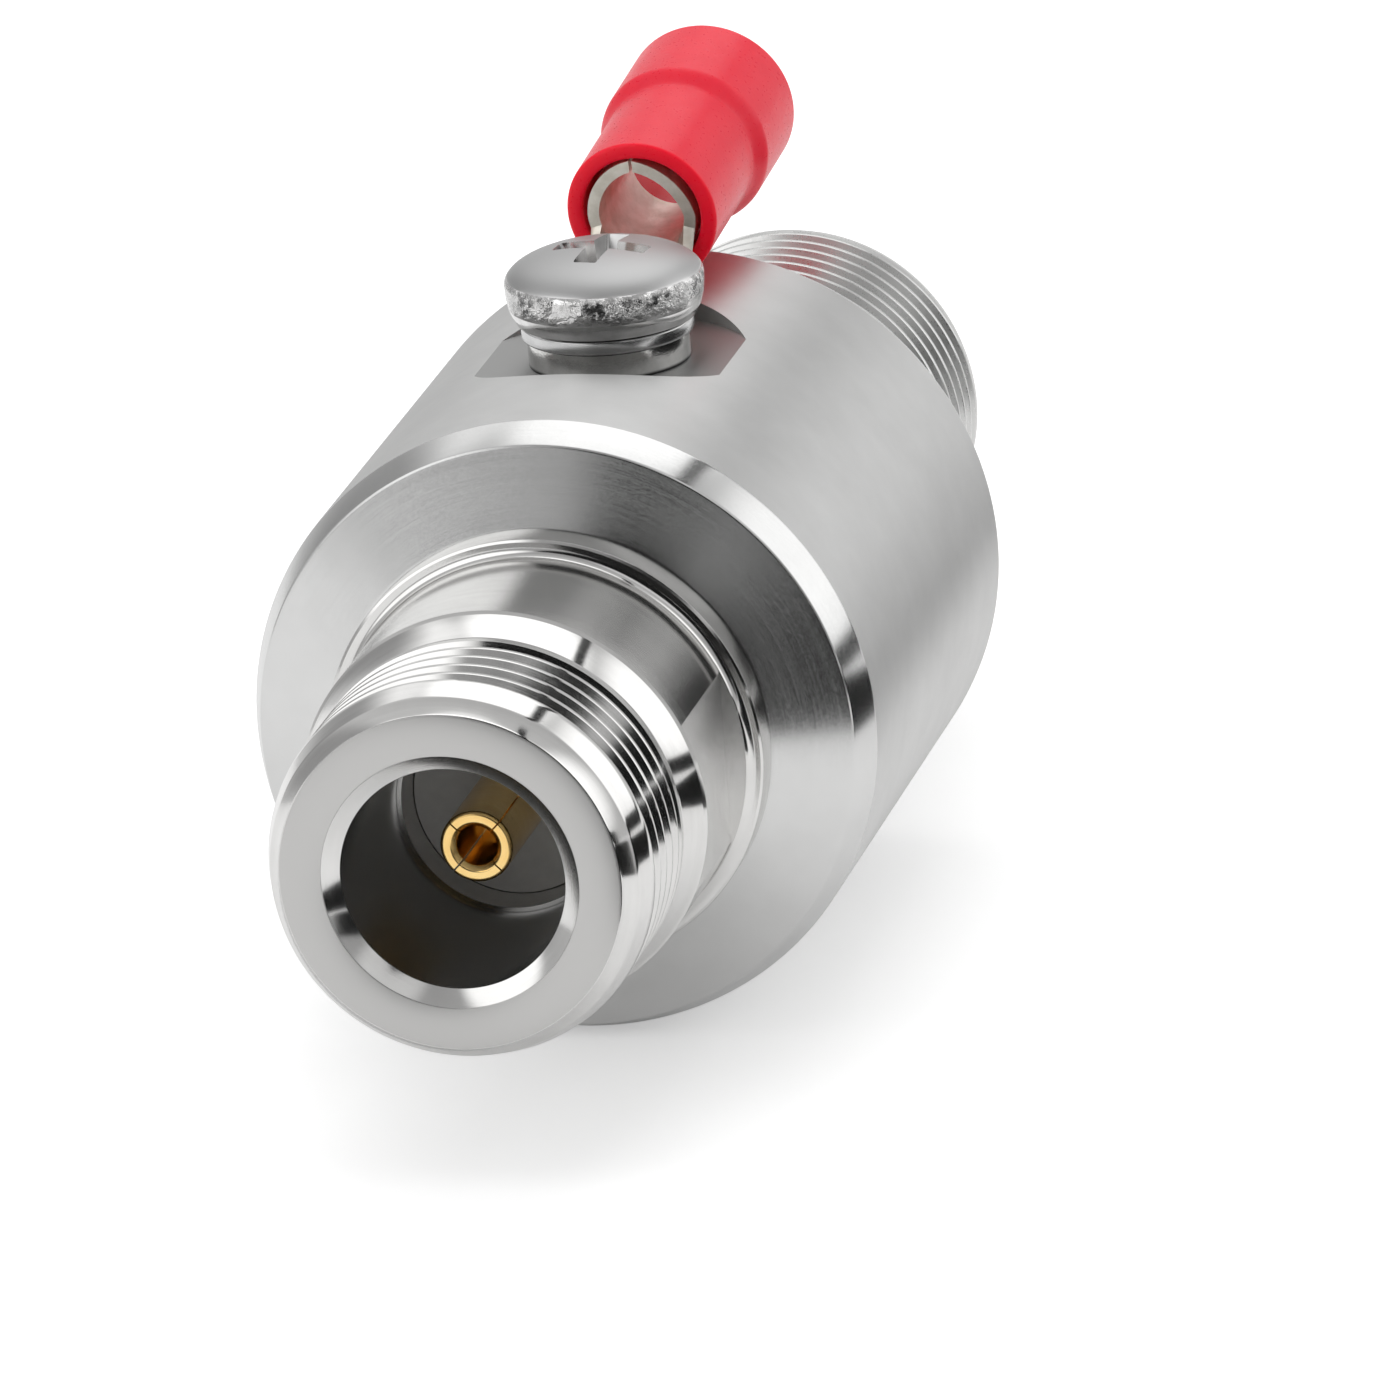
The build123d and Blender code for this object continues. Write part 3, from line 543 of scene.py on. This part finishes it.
def connector(name, port, node, look):
    """Outer conductor of a socket with its cut coupling thread and milled flats.

    Points a few hundredths of a millimetre from a corner round it.
    """
    port_y, inward, thread_end, sense = port
    cone_start = thread_end + RELIEF_LENGTH
    neck_start = cone_start + CONE_LENGTH
    neck_end = neck_start + NECK_LENGTH
    seat = neck_end + BOSS_LENGTH
    tail_end = seat + SEAT_Y - WEB_HALF - TAIL_GAP
    groove_start = seat + GROOVE_START
    groove_end = groove_start + GROOVE_WIDTH
    edge = NECK_R - CONE_R
    flat_from, flat_to = neck_start + edge, neck_end - FLAT_END_GAP
    mouth_part = [
        (PORT_MOUTH_R, 0.0), (FACE_R - FACE_EDGE, 0.0), (FACE_R, FACE_EDGE * 0.3),
        (FACE_R + 0.03, FACE_EDGE), (BEVEL_R - 0.04, BEVEL_LENGTH - 0.06), (BEVEL_R, BEVEL_LENGTH),
        (BEVEL_R + 0.035, BEVEL_LENGTH + 0.09), (BAND_R - 0.02, BAND_LENGTH - 0.06),
        (BAND_R, BAND_LENGTH), (THREAD_R, NOSE_LENGTH),
    ]
    neck_part = [
        (THREAD_R, thread_end), (THREAD_R, cone_start - 0.06), (THREAD_R - 0.06, cone_start),
        (THREAD_R, cone_start + 0.06), (CONE_R, neck_start - 0.03), (CONE_R + 0.02, neck_start),
        (NECK_R, neck_start + edge),
    ]
    # The fillet at the neck's root is split where the flats end
    root = (NECK_R + NECK_FILLET, neck_end - NECK_FILLET)
    end_turn = 180 - degrees(asin((flat_to - root[1]) / NECK_FILLET))
    flat_part = [(NECK_R, flat_from + (root[1] - flat_from) * i / 8) for i in range(8)]
    flat_part += arc(root, NECK_FILLET, NECK_FILLET, 180, end_turn, 4)
    tail_part = arc(root, NECK_FILLET, NECK_FILLET, end_turn, 90, 8) + [
        (BOSS_R - BOSS_EDGE, neck_end), (BOSS_R - 0.02, neck_end + BOSS_EDGE * 0.5),
        (BOSS_R, neck_end + BOSS_EDGE), (BOSS_R, seat), (TAIL_R, seat),
        (TAIL_R, groove_start), (TAIL_R - GROOVE_DEPTH, groove_start),
        (TAIL_R - GROOVE_DEPTH, groove_end), (TAIL_R, groove_end),
        (TAIL_R, tail_end - TAIL_CHAMFER), (TAIL_R - TAIL_CHAMFER, tail_end), (BUSH_R, tail_end),
        (BUSH_R, INSULATOR_END), (FLANGE_R, INSULATOR_END), (FLANGE_R, SHOULDER_DEPTH),
        (INSULATOR_R, SHOULDER_DEPTH), (INSULATOR_R, STEP_DEPTH), (STEP_R, PORT_DEPTH),
        (PORT_R, PORT_DEPTH), (PORT_R, PORT_MOUTH_DEPTH + 0.04), (PORT_R + 0.02, PORT_MOUTH_DEPTH),
        (PORT_MOUTH_R - 0.06, 0.04), (PORT_MOUTH_R - 0.03, 0.01), (PORT_MOUTH_R, 0.0),
    ]
    # Angles of the grid, with one exactly on each end of the flats
    angles = [2 * pi * i / SEGMENTS for i in range(SEGMENTS)]
    flat_turn = atan2(sqrt(NECK_R ** 2 - FLAT_X ** 2), FLAT_X)
    for target in (flat_turn, pi - flat_turn, pi + flat_turn, 2 * pi - flat_turn):
        nearest = min(range(SEGMENTS), key=lambda i: abs(angles[i] - target))
        angles[nearest] = target
    mesh = bmesh.new()

    def column(points, angle, flat=False):
        verts = []
        for radius, depth in points:
            x, z = radius * cos(angle), radius * sin(angle)
            if flat:
                x = max(-FLAT_X, min(FLAT_X, x))
            verts.append(mesh.verts.new(Vector((x, port_y + inward * depth, z)) * MM))
        return verts

    def skin(columns, shift=0):
        for i, here in enumerate(columns):
            beside = columns[(i + 1) % len(columns)]
            offset = shift if i == len(columns) - 1 else 0
            top = len(here) - 1
            for k in range(top):
                a, b = max(0, min(top, k - offset)), max(0, min(top, k + 1 - offset))
                corners = [here[k], here[k + 1], beside[b], beside[a]]
                if len(set(corners)) == 4:
                    mesh.faces.new(corners)

    thread, period = thread_columns(thread_end, sense)
    for part, flat in ((mouth_part, False), (neck_part, False), (flat_part, True), (tail_part, False)):
        skin([column(part, angle, flat) for angle in angles])
    skin([column(points, angle) for points, angle in zip(thread, angles)], sense * period)
    # Walls at both ends of the flats join the flat stretch to the round ones
    for low, high in ((neck_part[-1], flat_part[0]), (flat_part[-1], tail_part[0])):
        flat_low = low == neck_part[-1]
        ring_low = [column([low], angle, not flat_low)[0] for angle in angles]
        ring_high = [column([high], angle, flat_low)[0] for angle in angles]
        for i in range(SEGMENTS):
            k = (i + 1) % SEGMENTS
            mesh.faces.new((ring_low[i], ring_low[k], ring_high[k], ring_high[i]))
    bmesh.ops.remove_doubles(mesh, verts=mesh.verts, dist=2e-8)
    bmesh.ops.recalc_face_normals(mesh, faces=mesh.faces)
    piece = finish_mesh(name, mesh)
    place(piece, node, look, 24.0)


connector("front_socket_skin", FRONT, "front_connector_shell", bright_nickel)
connector("rear_socket_skin", REAR, "rear_connector_shell", dull_nickel)


# Socket contacts, with the slits closed up as the formed fingers close them
CONTACT_R, CONTACT_BORE_R, CONTACT_LEAD_IN, CONTACT_EDGE = 1.5, 0.83, 0.22, 0.12
CONTACT_TIP, CONTACT_BORE_END, CONTACT_NECK_R = 4.4, 9.8, 1.3
STUB_R, STUB_END, CONTACT_ROUND = 0.9, 21.0, 0.05
SLIT_LENGTH, SLIT_WIDTH, SLIT_OVERRUN = 4.7, 0.07, 1.0


def contact(name, port, node):
    """Gold plated contact with four fingers."""
    port_y, inward = port[:2]
    outline = soften([
        (CONTACT_BORE_R + CONTACT_LEAD_IN, CONTACT_TIP), (CONTACT_R - CONTACT_EDGE, CONTACT_TIP),
        (CONTACT_R, CONTACT_TIP + CONTACT_EDGE), (CONTACT_R, SHOULDER_DEPTH),
        (CONTACT_NECK_R, SHOULDER_DEPTH), (CONTACT_NECK_R, INSULATOR_END),
        (STUB_R, INSULATOR_END), (STUB_R, STUB_END), (AXIS_R, STUB_END),
        (AXIS_R, CONTACT_BORE_END + CONTACT_BORE_R / 2), (CONTACT_BORE_R, CONTACT_BORE_END),
        (CONTACT_BORE_R, CONTACT_TIP + CONTACT_LEAD_IN),
    ], CONTACT_ROUND)
    placed = [(radius, port_y + inward * depth) for radius, depth in outline]
    piece = turned(name, placed, CONTACT_SEGMENTS)
    cutters = []
    middle = CONTACT_TIP + (SLIT_LENGTH - SLIT_OVERRUN) / 2
    at_middle = Matrix.Translation(Vector((0, port_y + inward * middle, 0)) * MM)
    size = Vector((CONTACT_R * 3, SLIT_LENGTH + SLIT_OVERRUN, SLIT_WIDTH)) * MM
    for turn in (45, 135):
        place_in = at_middle @ Matrix.Rotation(radians(turn), 4, "Y")
        mesh = bmesh.new()
        bmesh.ops.create_cube(mesh, size=1.0)
        bmesh.ops.transform(mesh, matrix=place_in @ Matrix.Diagonal(size).to_4x4(), verts=mesh.verts)
        cutters.append(finish_mesh("slit_cut", mesh))
    carve(piece, cutters)
    place(piece, node, gold, 30.0)


contact("front_contact_skin", FRONT, "front_socket_contact")
contact("rear_contact_skin", REAR, "rear_socket_contact")


# Body
def plug(name, radius, low, high, segments):
    """Upright cylinder that cuts a round hole, between two heights."""
    return turned(name, [(AXIS_R, low), (radius, low), (radius, high), (AXIS_R, high)], segments, "Z")


def body():
    """Turned barrel with its milled seat, the screw's hole and the pocket of the gas tube."""
    half_outline = [
        (LINE_R, -WEB_HALF), (TAIL_BORE_R, -WEB_HALF), (TAIL_BORE_R, -SEAT_Y), (BOSS_R, -SEAT_Y),
        (BODY_R - EDGE_DROP, -BODY_HALF), (BODY_R, -BODY_HALF + EDGE_LENGTH),
    ]
    outline = half_outline + [(r, -y) for r, y in reversed(half_outline)]
    piece = turned("body_skin", soften(outline, BODY_ROUND))
    hole_floor = SEAT_FLOOR - SCREW_HOLE_DEPTH
    carve(piece, [
        plug("seat_cut", SEAT_R, SEAT_FLOOR, SEAT_CUT_TOP, SEAT_SEGMENTS),
        plug("hole_cut", SCREW_HOLE_R, hole_floor, SEAT_FLOOR + HOLE_OVERRUN, HOLE_SEGMENTS),
        plug("pocket_cut", POCKET_R, -POCKET_FLOOR, POCKET_TOP, POCKET_SEGMENTS),
    ])
    place(piece, "body_shell", satin_nickel, 20.0)


body()


# Ground screw
SCREW_R, SCREW_TIP, SCREW_POINT = 2.0, 8.16, 0.4
RECESS_TURN, RECESS_SPAN, RECESS_WING, RECESS_DEPTH = 82.5, 4.3, 1.05, 2.0
RECESS_FOOT_SPAN, RECESS_FOOT_WING, RECESS_EDGE, RECESS_OVERRUN = 2.1, 0.6, 0.12, 0.25
BULGE_STEPS = 13


def screw():
    """Pan head screw with a cross recess of tapered wings."""
    top = CROWN_START + HEAD_CROWN
    outline = [
        (AXIS_R, SCREW_TIP), (SCREW_R - SCREW_POINT, SCREW_TIP), (SCREW_R, SCREW_TIP + SCREW_POINT),
        (SCREW_R, HEAD_BASE), (HEAD_FOOT_R - 0.08, HEAD_BASE), (HEAD_FOOT_R - 0.02, HEAD_BASE + 0.02),
    ]
    # The side bulges gently from the foot to the crown
    foot = Vector((HEAD_FOOT_R, HEAD_BASE + 0.07))
    bulge = Vector((HEAD_R, HEAD_BASE + 0.62))
    shoulder = Vector((HEAD_R, CROWN_START))
    for step in range(BULGE_STEPS):
        t = step / BULGE_STEPS
        outline.append(tuple(foot * (1 - t) ** 2 + bulge * 2 * t * (1 - t) + shoulder * t ** 2))
    outline += arc((0.0, CROWN_START), HEAD_R, HEAD_CROWN, 0, 90, 28)
    outline[-1] = (AXIS_R, top)
    piece = turned("screw_skin", outline, SCREW_SEGMENTS, "Z")
    cutters = []
    for quarter in (0, 90):
        rows = []
        for share in (-RECESS_OVERRUN, 1.0):
            span = RECESS_SPAN + (RECESS_FOOT_SPAN - RECESS_SPAN) * share
            wing = RECESS_WING + (RECESS_FOOT_WING - RECESS_WING) * share
            signs = [(-1, -1), (1, -1), (1, 1), (-1, 1)]
            corners = soften([(a * span / 2, b * wing / 2) for a, b in signs], RECESS_EDGE)
            turn = radians(RECESS_TURN + quarter)
            height = top - RECESS_DEPTH * share
            row = []
            for a, b in corners:
                row.append((a * cos(turn) - b * sin(turn), a * sin(turn) + b * cos(turn), height))
            rows.append(row)
        mesh = bmesh.new()
        high, low = [[mesh.verts.new(Vector(p) * MM) for p in row] for row in rows]
        for i in range(len(high)):
            k = (i + 1) % len(high)
            mesh.faces.new((high[i], high[k], low[k], low[i]))
        mesh.faces.new(high)
        mesh.faces.new(low)
        bmesh.ops.recalc_face_normals(mesh, faces=mesh.faces)
        cutters.append(finish_mesh("recess_cut", mesh))
    carve(piece, cutters)
    place(piece, "ground_screw", zinc, 30.0)


screw()


# Sleeve of the terminal
SLEEVE_BORE_R, SLEEVE_R, SLEEVE_WIDE_R, SLEEVE_WIDE_BORE_R = 2.55, 3.25, 3.67, 3.12
SLEEVE_NARROW, SLEEVE_FLARE, SLEEVE_LENGTH, SLEEVE_ROUND = 6.1, 0.8, 11.6, 0.4
SLEEVE_EDGE, SLEEVE_SEGMENTS = 0.16, 160


def flare(start_r, end_r, steps=10):
    """Soft step from one radius to the other, over a little more than the flare's length."""
    points = []
    for i in range(steps + 1):
        t = i / steps
        radius = start_r + (end_r - start_r) * t * t * (3 - 2 * t)
        points.append((radius, SLEEVE_NARROW + SLEEVE_FLARE * (1.3 * t - 0.15)))
    return points


def sleeve():
    """Sleeve round the terminal's barrel, wider where it takes the wire's insulation."""
    round_at = (SLEEVE_WIDE_R - SLEEVE_ROUND, SLEEVE_LENGTH - SLEEVE_ROUND)
    outside = [(SLEEVE_R, 0.0)] + flare(SLEEVE_R, SLEEVE_WIDE_R)
    outside += arc(round_at, SLEEVE_ROUND, SLEEVE_ROUND, 0, 90, 8)
    inside = flare(SLEEVE_BORE_R, SLEEVE_WIDE_BORE_R)[::-1]
    inside = [(SLEEVE_WIDE_BORE_R, SLEEVE_LENGTH)] + inside + [(SLEEVE_BORE_R, 0.0)]
    rows = []
    for radius, along in soften(outside + inside, SLEEVE_EDGE):
        ring = []
        for i in range(SLEEVE_SEGMENTS):
            angle = 2 * pi * i / SLEEVE_SEGMENTS
            outward = BARREL_SIDE * cos(angle) + BARREL_UP * sin(angle)
            ring.append(tuple(BARREL_AT + BARREL_AXIS * along + outward * radius))
        rows.append(ring)
    piece = grid_mesh("sleeve_skin", rows)
    place(piece, "insulating_sleeve", vinyl, 40.0)


sleeve()


# Stamped and bent pieces: the solid's own form with its edges broken
def broken_edges(name, node, look, width, slack=0.0):
    """Piece with rounded edges; slack is the play above and below it."""
    solid = frame["nodes"][node]
    mesh = bmesh.new()
    mesh.from_mesh(solid.data)
    mesh.transform(solid.matrix_world)
    if slack:
        heights = [v.co.z for v in mesh.verts]
        middle = (max(heights) + min(heights)) / 2
        half = (max(heights) - min(heights)) / 2
        for v in mesh.verts:
            v.co.z = middle + (v.co.z - middle) * (1 - slack * MM / half)
    bmesh.ops.remove_doubles(mesh, verts=mesh.verts, dist=1e-7)
    bmesh.ops.dissolve_limit(mesh, angle_limit=radians(1), verts=mesh.verts, edges=mesh.edges)
    piece = finish_mesh(name, mesh)
    step = piece.modifiers.new("edges", "BEVEL")
    step.width = width * MM
    step.segments = 3
    step.limit_method = "ANGLE"
    step.angle_limit = radians(40)
    place(piece, node, look, 35.0)


broken_edges("washer_skin", "spring_washer", steel, 0.12, 0.07)
broken_edges("terminal_skin", "ring_terminal", tin, 0.13)


# Floor, light and camera
FLOOR_Z = -BODY_R * MM
FLOOR_SIZE, CARD_RISE, CARD_TONE = 6.0, 0.0003, 0.01
SURROUND, SURROUND_FRONT = 0.68, 0.42
# Patches of the tent: direction, angles of the full core and of the soft edge, brightness
TENT_PATCHES = [
    ((0.04, 0.55, 0.83), 18, 28, 1.6),
    ((0.82, 0.38, 0.42), 14, 30, 1.5),
    ((-0.62, -0.60, 0.50), 20, 28, 1.5),
    ((-0.50, 0.60, 0.62), 6, 16, 1.2),
    ((0.42, -0.66, 0.62), 14, 24, 0.75),
    ((-0.78, 0.46, 0.36), 10, 26, 0.36),
]
WHITE_LIFT, GLOSS_LIFT = 0.36, 0.1


def card(name, centre, across, along, look):
    """Flat card of the set, from its centre and its two half edges."""
    mesh = bmesh.new()
    corners = [(-1, -1), (1, -1), (1, 1), (-1, 1)]
    centre, across, along = Vector(centre), Vector(across), Vector(along)
    mesh.faces.new([mesh.verts.new(centre + across * a + along * b) for a, b in corners])
    piece = finish_mesh(name, mesh)
    piece.data.materials.append(look)
    return piece


def dark_card(name, centre, across, along):
    """Card that only mirror-like surfaces see."""
    look = Nodes(bpy.data.materials.new(name))
    look.set(Base_Color=(CARD_TONE, CARD_TONE, CARD_TONE, 1), Roughness=0.9, Specular_IOR_Level=0.0)
    piece = card(name, centre, across, along, look.owner)
    piece.visible_camera = False
    piece.visible_diffuse = False
    piece.visible_shadow = False


def softbox(name, centre, aim, size, radiance):
    """Rectangular lamp that metal doesn't mirror; its power follows from the radiance asked for."""
    data = bpy.data.lights.new(name, "AREA")
    data.shape = "RECTANGLE"
    data.size, data.size_y = size
    data.energy = radiance * pi * size[0] * size[1]
    light = bpy.data.objects.new(name, data)
    turn = (Vector(centre) - Vector(aim)).to_track_quat("Z", "Y").to_matrix().to_4x4()
    light.matrix_world = Matrix.Translation(centre) @ turn
    light.visible_glossy = False
    scene.collection.objects.link(light)


def pale_floor():
    """Floor that the camera sees as white, with the shadow of the object left on it."""
    look = Nodes(bpy.data.materials.new("pale_floor"))
    look.set(Base_Color=(0.86, 0.86, 0.86, 1), Roughness=0.9, Specular_IOR_Level=0.0)
    path = look.add("LightPath").outputs
    to_camera = look.math("MULTIPLY", path["Is Camera Ray"], WHITE_LIFT)
    lift = look.math("ADD", to_camera, look.math("MULTIPLY", path["Is Glossy Ray"], GLOSS_LIFT))
    look.set(Emission_Color=(1, 1, 1, 1), Emission_Strength=lift)
    card("floor", (0, 0, FLOOR_Z), (FLOOR_SIZE / 2, 0, 0), (0, FLOOR_SIZE / 2, 0), look.owner)


pale_floor()
dark_card("dark_front", (0.165, -0.72, 0.30), (0.315, 0, 0), (-0.06, 0, 0.315))
dark_card("dark_low", (0.75, -0.68, 0.115), (0.27, 0, 0), (0, 0, 0.125))
dark_card("dark_near", (0.155, -0.33, FLOOR_Z + CARD_RISE), (0.145, 0, 0), (0, 0.275, 0))
dark_card("dark_ground", (0.225, 0.022, FLOOR_Z + CARD_RISE), (0.175, 0, 0), (0, 0.052, 0))
dark_card("dark_side", (0.36, 0.17, 0.008), (0.061, -0.137, 0), (0, 0, 0.021))
dark_card("dark_gap", (0.195, 0.25, 0.385), (0.016, 0, -0.008), (-0.022, 0.25, -0.088))
softbox("top_light", (-0.05, 0.0, 0.55), (0, 0, 0), (0.55, 0.55), 1.0)

camera_data = bpy.data.cameras.new("camera")
camera_data.sensor_width = SENSOR_MM
camera_data.lens = FOCAL_PIXELS / PHOTO_SIDE * SENSOR_MM
camera_data.clip_start = 0.01
camera_data.clip_end = 10.0
camera = bpy.data.objects.new("camera", camera_data)
back = CAMERA_RIGHT.cross(CAMERA_UP)
axes = Matrix((CAMERA_RIGHT, CAMERA_UP, back)).transposed().to_4x4()
camera.matrix_world = Matrix.Translation(CAMERA_AT) @ axes
scene.collection.objects.link(camera)
scene.camera = camera


def surround(name):
    """White tent round the object: soft bright and grey patches by direction, white to the camera."""
    world = bpy.data.worlds.new(name)
    w = Nodes(world, "Background")
    way = w.add("TexCoord").outputs["Generated"]
    parts = w.add("SeparateXYZ", Vector=way)
    level = w.remap(parts.outputs["Y"], -0.5, 0.25, SURROUND_FRONT, SURROUND)
    for toward, inner, outer, strength in TENT_PATCHES:
        aim = w.add("VectorMath", {"operation": "DOT_PRODUCT"}, Vector=way)
        aim.inputs[1].default_value = Vector(toward).normalized()
        edge = w.add("MapRange", {"interpolation_type": "SMOOTHSTEP"}, Value=aim.outputs["Value"])
        edge.inputs["From Min"].default_value = cos(radians(outer))
        edge.inputs["From Max"].default_value = cos(radians(inner))
        level = w.mix(edge.outputs["Result"], level, strength)
    seen = w.add("LightPath").outputs["Is Camera Ray"]
    w.set(Color=(1, 1, 1, 1), Strength=w.mix(seen, level, 1.0))
    return world


scene.world = surround("tent")
